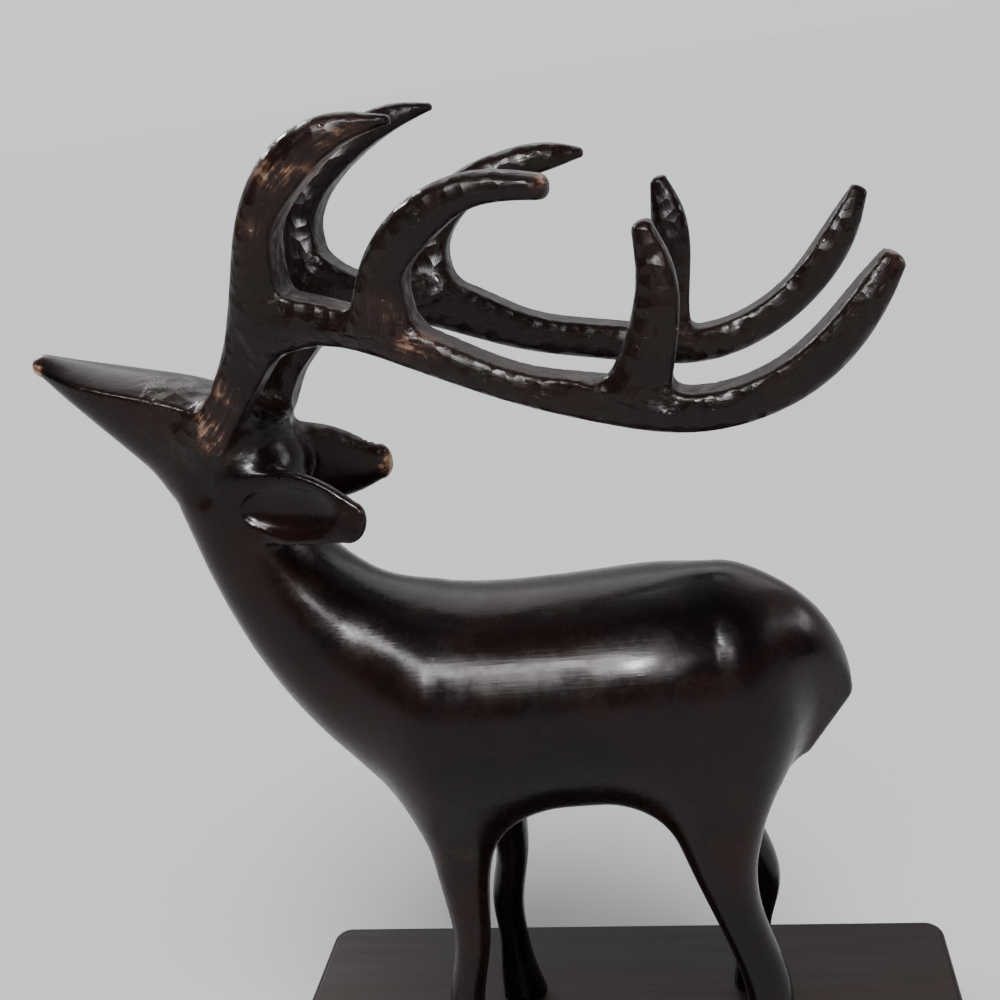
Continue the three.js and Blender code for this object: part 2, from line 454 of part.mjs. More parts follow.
// ---------------------------------------------------------------- the board
function boardOutline(length, width, r) {
  const s = new THREE.Shape(), x = length / 2, y = width / 2;
  s.moveTo(-x + r, -y);
  s.lineTo(x - r, -y); s.absarc(x - r, -y + r, r, -Math.PI / 2, 0, false);
  s.lineTo(x, y - r); s.absarc(x - r, y - r, r, 0, Math.PI / 2, false);
  s.lineTo(-x + r, y); s.absarc(-x + r, y - r, r, Math.PI / 2, Math.PI, false);
  s.lineTo(-x, -y + r); s.absarc(-x + r, -y + r, r, Math.PI, 1.5 * Math.PI, false);
  return s;
}
const boardGeometry = new THREE.ExtrudeGeometry(
  boardOutline(BASE_LENGTH - 2 * BASE_EDGE_R, BASE_WIDTH - 2 * BASE_EDGE_R, BASE_CORNER_R - BASE_EDGE_R),
  { depth: BASE_HEIGHT - 2 * BASE_EDGE_R, bevelEnabled: true, bevelThickness: BASE_EDGE_R, bevelSize: BASE_EDGE_R, bevelSegments: 4, curveSegments: 4 });
boardGeometry.translate(0, 0, BASE_EDGE_R);

// ---------------------------------------------------------------- scene graph
const group = new THREE.Group();
group.name = 'stag_statue';

const bronze = new THREE.MeshStandardMaterial({ color: 0x1d1513, roughness: 0.34, metalness: 0.85 });
const stagMesh = new THREE.Mesh(fromSolid(solid(toGeometry(light))), bronze);
stagMesh.name = 'stag';
group.add(stagMesh);

const wood = new THREE.MeshStandardMaterial({ color: 0x2a1512, roughness: 0.55, metalness: 0 });
const board = new THREE.Mesh(fromSolid(solid(boardGeometry)), wood);
board.name = 'base';
group.add(board);

export default group;
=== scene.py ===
import bpy, math
import numpy as np
from mathutils import Matrix, Vector


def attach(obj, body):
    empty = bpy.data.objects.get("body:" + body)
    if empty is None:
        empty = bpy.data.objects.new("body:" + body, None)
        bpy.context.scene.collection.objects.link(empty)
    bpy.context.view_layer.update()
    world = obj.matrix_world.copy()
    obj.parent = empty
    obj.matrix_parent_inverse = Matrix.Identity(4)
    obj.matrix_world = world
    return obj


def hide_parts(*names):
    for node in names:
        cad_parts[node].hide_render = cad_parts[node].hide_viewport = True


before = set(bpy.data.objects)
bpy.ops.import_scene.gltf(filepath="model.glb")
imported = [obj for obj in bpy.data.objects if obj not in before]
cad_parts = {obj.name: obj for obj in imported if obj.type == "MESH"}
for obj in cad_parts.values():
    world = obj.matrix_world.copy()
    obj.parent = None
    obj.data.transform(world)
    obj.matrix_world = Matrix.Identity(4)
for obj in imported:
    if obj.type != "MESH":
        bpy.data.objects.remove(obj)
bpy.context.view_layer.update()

# ------------------------------------------------------------------ camera
# the photograph's own view, found from the board's corners (metres)
cam_data = bpy.data.cameras.new("view")
cam_data.sensor_fit = "HORIZONTAL"
cam_data.sensor_width = 36.0
cam_data.lens = 41.4
cam_data.clip_start = 0.01
cam_data.clip_end = 50.0
cam = bpy.data.objects.new("view", cam_data)
right = Vector((0.97758062, 0.15006691, -0.14770256))
down = Vector((-0.08360116, -0.36718499, -0.92638331))
ahead = Vector((-0.19325364, 0.91796248, -0.34640716))
cam.matrix_world = Matrix((
    (right.x, -down.x, -ahead.x, 0.042),
    (right.y, -down.y, -ahead.y, -0.2375),
    (right.z, -down.z, -ahead.z, 0.268),
    (0, 0, 0, 1)))
bpy.context.scene.collection.objects.link(cam)
bpy.context.scene.camera = cam

# ------------------------------------------------------------------ sizes
# Millimetres, the same stations as the CAD source: x, y, z, half width, half height.
SOLE_Z = 18.3
FAR_FORELEG_STEP = 5.0
TORSO = [[38.6, 0, 131.2, 21.5, 26.4], [29, 0, 130.5, 24.8, 27.4], [6, 0, 129.4, 26.3, 27],
         [-15.5, 0, 128.7, 25.8, 26.4], [-26.7, 0, 129, 24, 24.4]]
NECK = [[-24.4, 0, 120.9, 19, 21.8], [-37.5, 0, 133.2, 20, 21.9], [-51.2, 0, 146.6, 17.5, 19],
        [-63.6, 0, 165.2, 14.5, 14.2], [-70.7, 0, 189.2, 12.3, 12.5]]
MUZZLE = [[-64.5, 0, 205.8, 11.2, 13.8], [-73.2, 0, 210.1, 11, 22], [-86.6, 0, 214.2, 10.4, 16.4],
          [-99.5, 0, 217.9, 8, 7], [-107.2, 0, 220.5, 4.2, 2.6]]
BRIDGE_CROWN = 2.4
HIND_LEG = [[28.6, -9, 125.7, 9.5, 18.1], [33.3, -13.5, 105.7, 9.2, 12.6], [34.3, -17, 91.6, 7.4, 7.9],
            [38.2, -20, 74, 5.8, 5.2], [42.2, -22, 55.1, 5.2, 5.3], [40, -22.6, 41, 4.4, 4.3],
            [39.1, -22.9, 28, 4.7, 5.1], [38.9, -23, 16, 5.5, 6.7]]
FORE_LEG = [[-19.6, -9, 121.6, 10, 16.2], [-26.2, -12.5, 103, 9, 9.8], [-28.1, -15.5, 86.4, 6.6, 6],
            [-28.6, -17.5, 69.8, 5.4, 4.4], [-32.4, -18.7, 52.6, 4.9, 4.3], [-32.9, -19.3, 40, 4.3, 4],
            [-33.1, -19.4, 28, 4.7, 5], [-32.4, -19.6, 16, 5.5, 6.7]]
EAR = [[-63.5, -9.8, 184.2, 4, 7], [-53.6, -13, 185.8, 4.2, 8.4], [-43, -16.2, 184.4, 3.8, 6.5],
       [-37.6, -17.3, 182.7, 2.8, 4.6]]
FAR_EAR = [[-61.5, 8, 191.5, 5.5, 9.6], [-52.5, 12.5, 187, 4.6, 10.2], [-44.3, 16, 185, 3.6, 7.2],
           [-39.4, 17.1, 184.6, 2.6, 4.6]]
BROW = [[-70.6, -6.5, 200.9, 5, 5.9], [-65.4, -9, 204.8, 4.6, 5.6], [-56.6, -11, 215.2, 4.8, 5.7],
        [-48.5, -13.5, 227.9, 5.4, 7.1], [-43.6, -17, 245.7, 5.2, 4.8], [-33.8, -20, 256.7, 4.6, 5.4],
        [-22.3, -22.3, 262, 3.4, 3.4], [-13.3, -22.8, 262.5, 1.2, 1.1]]
BEAM = [[-47.8, -13.5, 227.7, 5, 8.5], [-34.3, -18, 226.8, 4.6, 5.2], [-15.1, -24, 221.3, 4.5, 4.6],
        [6.4, -29, 212.4, 4.5, 3.9], [22.4, -33, 209.1, 4.5, 4.8], [37.6, -36.3, 206.7, 4.4, 4.4],
        [58, -38.5, 213.5, 4, 4.5], [69.3, -38.6, 225.9, 3.6, 3.4], [71.7, -38.6, 229.3, 2.4, 2.7]]
POINT_2 = [[-19.5, -24, 225.2, 4.2, 8], [-17, -26, 236.1, 4.2, 5.2], [-10.1, -29, 243.3, 4.2, 4.9],
           [2.2, -31.5, 248.9, 4, 3.5], [13.9, -32.5, 248.1, 3.6, 2.5]]
POINT_3 = [[28.2, -35.2, 209.8, 4.3, 6.8], [30.7, -35.5, 216.6, 4.2, 5.5], [33.4, -35.6, 230.8, 3.8, 3.9],
           [31.8, -35.6, 239.2, 2.4, 2.2]]
FAR_BROW = [[-68.3, 6.5, 199.2, 6, 7.4], [-62.2, 9, 202.4, 5.4, 7.6], [-56, 11, 211.8, 5, 6.6],
            [-46.6, 13.5, 224.3, 5.4, 7], [-46.5, 17, 241.3, 5.2, 4.9], [-34, 20, 256.8, 4.6, 4.3],
            [-23.1, 22.3, 261.6, 3.4, 3.2], [-15.1, 22.8, 262.7, 1.2, 1.1]]
FAR_BEAM = [[-45.4, 13.5, 231.2, 5, 7.4], [-34.4, 18, 224.9, 4.6, 5], [-20.9, 24, 220.8, 4.5, 6.4],
            [-2, 29, 210.8, 4.5, 5.2], [17.4, 33, 204.9, 4.5, 5], [41.6, 36.8, 201, 4.4, 4.8],
            [62.9, 38.5, 211, 4, 4.6], [73.3, 38.6, 224.8, 3.4, 3.8], [76.5, 38.6, 230.9, 1.6, 2.3]]
FAR_POINT_2 = [[-20, 24, 222.1, 4.2, 6.7], [-20.2, 26, 232.6, 4.2, 5.4], [-12.3, 29, 242.7, 4.2, 4.7],
               [-1.8, 31.5, 246.7, 4, 4.2], [9.5, 32.5, 248, 3.4, 3.2], [15.6, 32.7, 248, 1.5, 1.4]]
FAR_POINT_3 = [[31.1, 35.2, 203.1, 4.3, 7.5], [33.3, 35.5, 212, 4.2, 5], [34.4, 35.6, 231.5, 3.6, 4.3],
               [32.9, 35.6, 239.2, 1.8, 2.2]]
# croup: the rounded back of the rump, which narrows to the tail between two flat sides
CROUP_CENTRE, CROUP_R = (36.6, 0.0, 126.0), (29.7, 18.0, 31.5)
TAIL_TIP, TAIL_ROOT = (66.1, 124.5), (55.2, 110.6)
TAIL_SIDE = ((59.2, -10.0, 141.9), (66.0, -1.8, 125.3), (55.4, -5.5, 115.0))
EAR_HOLLOW = dict(at=(-51.6, -16.0, 186.0), r=(13.0, 3.5, 6.2), tilt=0.06, turn=-0.29)
SKULL = dict(at=(-61.5, 0.0, 191.5), r=(10.5, 12.5, 9.5))
EYE = dict(at=(-73.6, -12.9, 190.8), r=(3.6, 1.1, 2.8))
FILLET = dict(withers=16.0, head=6.0, leg=11.0, tail=3.0, skull=5.0, ear=3.0, point=3.0, antler=3.5)
INNER = 0.35

# ------------------------------------------------------------------ curves
def smooth(stations, steps):
    """Natural cubic spline by chord length through every column of the stations."""
    s = np.array(stations, float)
    n = len(s)
    h = np.maximum(np.linalg.norm(np.diff(s[:, :3], axis=0), axis=1), 1e-3)
    A = np.eye(n)
    B = np.zeros_like(s)
    for i in range(1, n - 1):
        A[i, i - 1:i + 2] = h[i - 1], 2 * (h[i - 1] + h[i]), h[i]
        B[i] = 6 * ((s[i + 1] - s[i]) / h[i] - (s[i] - s[i - 1]) / h[i - 1])
    m = np.linalg.solve(A, B)
    out = []
    for i in range(n - 1):
        t = (np.arange(steps) / steps * h[i])[:, None]
        u = h[i] - t
        out.append((m[i] * u ** 3 + m[i + 1] * t ** 3) / (6 * h[i])
                   + (s[i] / h[i] - m[i] * h[i] / 6) * u + (s[i + 1] / h[i] - m[i + 1] * h[i] / 6) * t)
    out.append(s[-1:])
    return np.concatenate(out)


def join(a, b, k):
    q = np.maximum(k - np.abs(a - b), 0) / k
    return np.minimum(a, b) - q * q * k * 0.25


def cut(a, b, k):
    return -join(-a, -b, k)


def dot3(a, b):
    return a[:, 0] * b[:, 0] + a[:, 1] * b[:, 1] + a[:, 2] * b[:, 2]


class Limb:
    """An elliptical or slightly squared section swept along a smooth curve."""
    def __init__(self, stations, across=(0, 1, 0), power=2.15, ends=(2, 1.2), flat=None, face=None, steps=10):
        st = smooth(stations, steps)
        self.P, self.A, self.B = st[:, :3], np.maximum(st[:, 3], 0.9), np.maximum(st[:, 4], 0.9)
        P = self.P
        T = np.empty_like(P)
        T[1:-1] = P[2:] - P[:-2]
        T[0], T[-1] = P[1] - P[0], P[-1] - P[-2]
        self.T = T / np.linalg.norm(T, axis=1)[:, None]
        L = np.array(across, float) - (self.T @ np.array(across, float))[:, None] * self.T
        self.L = L / np.linalg.norm(L, axis=1)[:, None]
        self.N = np.cross(self.L, self.T)
        self.S = np.concatenate([[0], np.cumsum(np.linalg.norm(np.diff(P, axis=0), axis=1))])
        self.power, self.ends, self.flat, self.face = power, ends, flat, face
        r = np.maximum(self.A, self.B)[:, None] + max(ends)
        self.lo, self.hi = (P - r).min(0), (P + r).max(0)
        self.D = np.diff(P, axis=0)
        self.DD = (self.D ** 2).sum(1)

    def __call__(self, Q):
        out = np.linalg.norm(np.maximum(np.maximum(self.lo - Q, Q - self.hi), 0), axis=1)
        near = np.nonzero(out <= 18)[0]
        for c in range(0, len(near), 60000):
            i = near[c:c + 60000]
            out[i] = self.look(Q[i])[0]
        return out

    def look(self, Q):
        n = len(Q)
        best = np.full(n, 1e18); bi = np.zeros(n, int); bt = np.zeros(n); raw = np.zeros(n)
        for i in range(len(self.D)):
            q = Q - self.P[i]
            r = (q @ self.D[i]) / self.DD[i]
            t = np.clip(r, 0, 1)
            d2 = ((q - t[:, None] * self.D[i]) ** 2).sum(1)
            m = d2 < best
            best[m] = d2[m]; bi[m] = i; bt[m] = t[m]; raw[m] = r[m]
        j = bi + 1
        mix = lambda X: X[bi] * (1 - bt)[:, None] + X[j] * bt[:, None]
        mix1 = lambda X: X[bi] * (1 - bt) + X[j] * bt
        rel = Q - mix(self.P)
        a, b = mix1(self.A), mix1(self.B)
        u, v = dot3(rel, mix(self.L)), dot3(rel, mix(self.N))
        start, end = (bi == 0) & (raw < 0), (bi == len(self.D) - 1) & (raw > 1)
        w = np.where(start | end, dot3(rel, mix(self.T)), 0)
        c = np.where(start, self.ends[0], self.ends[1])
        p = self.power
        U, V, W = np.abs(u) / a, np.abs(v) / b, np.abs(w) / c
        kk = (U ** p + V ** p + 1e-9) ** (1 / p)
        k0 = np.sqrt(kk * kk + W * W) + 1e-9
        g = kk ** (1 - p)
        gu, gv = g * U ** (p - 1) / a, g * V ** (p - 1) / b
        d = (k0 - 1) / (np.sqrt((kk / k0) ** 2 * (gu * gu + gv * gv) + (W / k0 / c) ** 2) + 1e-6)
        plane = np.full(n, -9.0)
        if self.flat is not None:
            side, fraction, rnd, *crown = self.flat
            if crown:
                plane = (side * v - crown[0] * (1 - np.minimum(np.abs(u) / a, 1.3) ** 2)) * 0.93
            else:
                plane = side * v - fraction * b
        tube = d
        if self.flat is not None:
            d = cut(d, plane, self.flat[2])
        if self.face is not None:
            d = cut(d, self.face[0] * u - self.face[1] * a, self.face[2])
        return d, plane - tube, mix1(self.S), u, v


def ellipsoid(at, r, tilt=0.0, turn=0.0):
    cs, sn = math.cos(tilt), math.sin(tilt)
    ct, st = math.cos(turn), math.sin(turn)
    r = np.array(r, float)

    def f(Q):
        d = Q - np.array(at)
        d = np.stack([d[:, 0] * ct + d[:, 1] * st, d[:, 1] * ct - d[:, 0] * st, d[:, 2]], 1)
        q = np.stack([d[:, 0] * cs + d[:, 2] * sn, d[:, 1], -d[:, 0] * sn + d[:, 2] * cs], 1)
        k0 = np.sqrt(((q / r) ** 2).sum(1)) + 1e-9
        k1 = np.sqrt(((q / r ** 2) ** 2).sum(1)) + 1e-9
        return k0 * (k0 - 1) / k1
    return f


# ------------------------------------------------------------------ the stag
torso = Limb(TORSO, ends=(18.5, 12), steps=12)
neck = Limb(NECK, ends=(12, 14), steps=12)


def trunk(Q):
    return join(torso(Q), neck(Q), FILLET["withers"])


muzzle = Limb(MUZZLE, power=2.3, ends=(12, 3.4), flat=(1, 0, 0.5, BRIDGE_CROWN))
hind = Limb(HIND_LEG, ends=(10, 2))
fore = Limb(FORE_LEG, ends=(10, 2))
ear = Limb(EAR, power=2.3, ends=(3, 3.6), across=(0, 1, -0.15), face=(-1, 0.32, 0.35))
far_ear = Limb(FAR_EAR, power=2.3, ends=(3, 3.2), across=(0, 1, 0.15), face=(1, 0.55, 0.5))
antlers = [[Limb(s, power=2.5, ends=e, flat=f + (INNER,)) for s, e, f in side] for side in (
    [(BROW, (2, 1.2), (1, 0.72)), (BEAM, (2, 1.6), (-1, 0.76)), (POINT_2, (0.8, 2.4), (1, 0.76)), (POINT_3, (0.8, 1.6), (1, 0.8))],
    [(FAR_BROW, (2, 1.2), (1, 0.72)), (FAR_BEAM, (2, 1.2), (-1, 0.76)), (FAR_POINT_2, (0.8, 1.2), (1, 0.76)), (FAR_POINT_3, (0.8, 1.2), (1, 0.8))])]
hollow_near = ellipsoid(**EAR_HOLLOW)
eye_near = ellipsoid(EYE["at"], EYE["r"], 0.5)
croup = ellipsoid(CROUP_CENTRE, CROUP_R)
skull = ellipsoid(**SKULL)
_s = np.array(TAIL_SIDE)
_n = np.cross(_s[1] - _s[0], _s[2] - _s[0])
SIDE_N = -_n / np.linalg.norm(_n)
_e = np.array([TAIL_ROOT[0] - TAIL_TIP[0], TAIL_ROOT[1] - TAIL_TIP[1]])
TAIL_EDGE = np.array([-_e[1], _e[0]]) / np.linalg.norm(_e)


def flip(Q, shift=0.0):
    R = Q * np.array([1, -1, 1.0])
    R[:, 0] -= shift
    return R


def tail(Q):
    d = croup(Q)
    M = np.stack([Q[:, 0], -np.abs(Q[:, 1]), Q[:, 2]], 1)
    d = cut(d, (M - _s[0]) @ SIDE_N, 0.7)
    d = cut(d, (Q[:, 0] - TAIL_TIP[0]) * TAIL_EDGE[0] + (Q[:, 2] - TAIL_TIP[1]) * TAIL_EDGE[1], 1.0)
    return cut(d, TAIL_ROOT[1] + 0.5 - Q[:, 2], 1.0)


def stag(Q):
    d = join(trunk(Q), muzzle(Q), FILLET["head"])
    F = flip(Q)
    for leg in (hind(Q), hind(F), fore(Q), fore(flip(Q, FAR_FORELEG_STEP))):
        d = join(d, leg, FILLET["leg"])
    d = join(d, tail(Q), FILLET["tail"])
    d = join(d, skull(Q), FILLET["skull"])
    E = Q.copy(); E[:, 1] = -np.abs(E[:, 1])
    d = cut(d, -eye_near(E), 2.2)
    d = join(d, ear(Q), FILLET["ear"])
    d = join(d, far_ear(Q), FILLET["ear"])
    d = cut(d, -hollow_near(Q), 0.6)
    d = cut(d, -hollow_near(flip(Q - np.array([1.5, 0, 1.6]))), 0.6)
    for side in antlers:
        a = join(side[0](Q), side[1](Q), FILLET["point"])
        a = join(a, side[2](Q), FILLET["point"])
        a = join(a, side[3](Q), FILLET["point"])
        d = join(d, a, FILLET["antler"])
    return np.maximum(d, SOLE_Z - Q[:, 2])


# ------------------------------------------------------------------ skin
def skin(field, lo, hi, h, block=4):
    """Dual surface of the field on a fine grid, only looked at near the surface."""
    lo = np.array(lo, float)
    cube = h * block
    nb = np.ceil((np.array(hi) - lo) / cube).astype(int)
    ijk = np.stack(np.meshgrid(*[np.arange(k) for k in nb], indexing="ij"), -1).reshape(-1, 3)
    keep = np.abs(field(lo + (ijk + 0.5) * cube)) < cube * 1.25 + 1.0
    base = ijk[keep] * block
    dims = nb * block + 1
    idx = lambda c: (c[:, 0] * dims[1] + c[:, 1]) * dims[2] + c[:, 2]
    o = np.stack(np.meshgrid(*[np.arange(block)] * 3, indexing="ij"), -1).reshape(-1, 3)
    cells = (base[:, None] + o[None]).reshape(-1, 3)
    corner = np.array([[0, 0, 0], [1, 0, 0], [0, 1, 0], [1, 1, 0], [0, 0, 1], [1, 0, 1], [0, 1, 1], [1, 1, 1]])
    o1 = np.stack(np.meshgrid(*[np.arange(block + 1)] * 3, indexing="ij"), -1).reshape(-1, 3)
    pid = np.unique(idx((base[:, None] + o1[None]).reshape(-1, 3)))
    pc = np.stack([pid // (dims[1] * dims[2]), pid // dims[2] % dims[1], pid % dims[2]], 1)
    val = field(lo + pc * h)
    val[np.abs(val) < 1e-4] = 1e-4
    cid = idx(cells)
    cv = np.stack([val[np.searchsorted(pid, cid + idx(c[None])[0])] for c in corner], 1)
    inside = cv < 0
    act = inside.any(1) & ~inside.all(1)
    cells, cv, inside = cells[act], cv[act], inside[act]
    total = np.zeros((len(cells), 3)); count = np.zeros(len(cells))
    for a in range(8):
        for b in range(a + 1, 8):
            if np.abs(corner[a] - corner[b]).sum() != 1:
                continue
            m = inside[:, a] != inside[:, b]
            t = cv[m, a] / (cv[m, a] - cv[m, b])
            total[m] += corner[a] + t[:, None] * (corner[b] - corner[a])
            count[m] += 1
    pts = lo + (cells + total / count[:, None]) * h
    order = np.argsort(idx(cells))
    sid = idx(cells)[order]
    find = lambda c: order[np.searchsorted(sid, idx(c))]
    quads = []
    for ax, (p, q) in enumerate(((1, 2), (2, 0), (0, 1))):
        e = 1 << ax
        m = inside[:, 0] != inside[:, e]
        c = cells[m]
        dp, dq = np.zeros(3, int), np.zeros(3, int)
        dp[p] = 1; dq[q] = 1
        f = np.stack([find(c - dp - dq), find(c - dq), find(c), find(c - dp)], 1)
        neg = inside[m, 0]
        quads.append(np.where(neg[:, None], f, f[:, ::-1]))
    return pts, np.concatenate(quads)


def slope(field, P, e=0.05):
    k = np.array([[1, -1, -1], [-1, -1, 1], [-1, 1, -1], [1, 1, 1]], float)
    return sum(field(P + e * v)[:, None] * v for v in k) / (4 * e)


def settle(field, P, rounds=2, reach=0.6):
    for _ in range(rounds):
        g = slope(field, P)
        d = field(P)
        step = g * (d / np.maximum((g * g).sum(1), 0.05))[:, None]
        n = np.linalg.norm(step, axis=1)
        P = P - step * np.minimum(1, reach / np.maximum(n, 1e-9))[:, None]
    return P


STEP = 0.8
pts, quads = skin(stag, (-116, -46, SOLE_Z - 2.4), (86, 46, 270), STEP)
pts = settle(stag, pts)
low = pts[:, 2] < SOLE_Z + 0.35 * STEP
pts[low, 2] = SOLE_Z

tri = np.concatenate([quads[:, [0, 1, 2]], quads[:, [0, 2, 3]]])


def make_mesh(name, verts, faces):
    me = bpy.data.meshes.new(name)
    me.vertices.add(len(verts))
    me.vertices.foreach_set("co", np.asarray(verts, np.float32).ravel())
    k = faces.shape[1]
    me.loops.add(faces.size)
    me.loops.foreach_set("vertex_index", np.asarray(faces, np.int32).ravel())
    me.polygons.add(len(faces))
    me.polygons.foreach_set("loop_start", np.arange(0, faces.size, k, dtype=np.int32))
    me.update(calc_edges=True)
    me.validate()
    return me


me = make_mesh("stag_skin", pts / 1000.0, tri)
stag_ob = bpy.data.objects.new("stag_bronze", me)
bpy.context.scene.collection.objects.link(stag_ob)
LIMIT = 196000
if len(me.polygons) > LIMIT:
    mod = stag_ob.modifiers.new("thin", "DECIMATE")
    mod.ratio = LIMIT / len(me.polygons)
    bpy.context.view_layer.objects.active = stag_ob
    stag_ob.select_set(True)
    bpy.ops.object.modifier_apply(modifier=mod.name)
    stag_ob.select_set(False)
me = stag_ob.data
print("stag triangles", len(me.polygons))
me.polygons.foreach_set("use_smooth", np.ones(len(me.polygons), bool))

# ------------------------------------------------------------------ per-point facts for the finish
co = np.empty(len(me.vertices) * 3, np.float32)
me.vertices.foreach_get("co", co)
V = co.reshape(-1, 3).astype(float) * 1000


def smoothstep(x, a, b):
    t = np.clip((x - a) / (b - a), 0, 1)
    return t * t * (3 - 2 * t)


def put(name, values):
    values = np.asarray(values, np.float32)
    if values.ndim == 1:
        at = me.attributes.new(name, "FLOAT", "POINT")
        at.data.foreach_set("value", values)
    else:
        at = me.attributes.new(name, "FLOAT_VECTOR", "POINT")
        at.data.foreach_set("vector", values.ravel())


best = trunk(V)
best = np.minimum(best, np.minimum(np.minimum(hind(V), hind(flip(V))), np.minimum(fore(V), fore(flip(V, FAR_FORELEG_STEP)))))
inner = np.zeros(len(V)); crease = np.zeros(len(V)); antler = np.zeros(len(V)); tip = np.zeros(len(V))
flow = V.copy()
lead = best.copy()
for side in antlers:
    for k, limb in enumerate(side):
        near = np.nonzero(np.all((V > limb.lo - 3) & (V < limb.hi + 3), axis=1))[0]
        d, margin, s, u, v = limb.look(V[near])
        m = d < lead[near]
        i = near[m]
        lead[i] = d[m]
        antler[i] = 1
        inner[i] = smoothstep(margin[m], -0.25, 0.25)
        crease[i] = np.exp(-(margin[m] / 0.9) ** 2)
        tip[i] = smoothstep(s[m], limb.S[-1] - 9, limb.S[-1] - 1) * (0 if k == 4 else 1)
        flow[i] = np.stack([s[m], u[m], v[m]], 1)
near = np.nonzero(np.all((V > muzzle.lo - 3) & (V < muzzle.hi + 3), axis=1))[0]
d, margin, s, u, v = muzzle.look(V[near])
m = (d < lead[near] + 0.5) & (antler[near] < 0.5)
i = near[m]
bridge = np.zeros(len(V))
bridge[i] = smoothstep(margin[m], -0.3, 0.3) * smoothstep(s[m], 1.0, 8.0)
crease[i] = np.maximum(crease[i], np.exp(-(margin[m] / 0.8) ** 2) * smoothstep(s[m], 1.0, 8.0))
tip[i] = smoothstep(s[m], muzzle.S[-1] - 1.0, muzzle.S[-1] + 6)

# how proud each point stands, from the mesh itself
e = np.empty(len(me.edges) * 2, np.int32)
me.edges.foreach_get("vertices", e)
e = e.reshape(-1, 2)
nrm = np.empty(len(V) * 3, np.float32)
me.vertices.foreach_get("normal", nrm)
nrm = nrm.reshape(-1, 3).astype(float)


def spread(x, rounds):
    for _ in range(rounds):
        s = x.copy(); n = np.ones(len(x))
        np.add.at(s, e[:, 0], x[e[:, 1]]); np.add.at(s, e[:, 1], x[e[:, 0]])
        np.add.at(n, e[:, 0], 1); np.add.at(n, e[:, 1], 1)
        x = s / (n if x.ndim == 1 else n[:, None])
    return x


mean = spread(V, 4)
proud = dot3(V - mean, nrm)
proud = spread(proud, 3)

def blob(at, r):
    q = (V - np.array(at)) / np.array(r)
    return np.exp(-(q * q).sum(1))

RUBBED = [  # place, reach, amount: nose tip, antler foot, brow, faces of the first and second points, tips
    ((-110.5, 0, 220.5), (3.4, 9, 4), 1.5), ((-66, -11, 205), (4.5, 7, 8), 0.72), ((-60, -14, 213), (4, 6, 7), 0.55),
    ((-44, -20, 247), (9, 6, 6), 0.42), ((-34, -21, 256), (9, 7, 4.5), 0.72), ((-23, -22, 261), (7, 7, 3.5), 0.62),
    ((-19, -29, 228), (5, 5, 4.5), 0.52), ((-13, -30, 222), (6.5, 6, 3.2), 0.66), ((15, -34, 250), (2.2, 5, 3), 0.5),
    ((73, -41, 231), (3.2, 5, 3.2), 0.5), ((-37, 17, 184), (3, 5, 4), 0.9), ((-29, -22, 98), (7, 8, 3.5), 0.38),
    ((-84, -6, 206), (1.8, 4, 1.8), 0.8), ((34, -24, 142), (9, 5, 2.5), 0.3)]
rub = np.zeros(len(V))
for at, reach, amount in RUBBED:
    rub = np.maximum(rub, amount * blob(at, reach))
put("rub", rub)
put("inner", inner); put("crease", crease); put("antler", spread(antler, 6)); put("tip", tip)
put("bridge", bridge); put("proud", np.clip(proud / 0.25, -1, 1)); put("flow", flow / 1000.0)

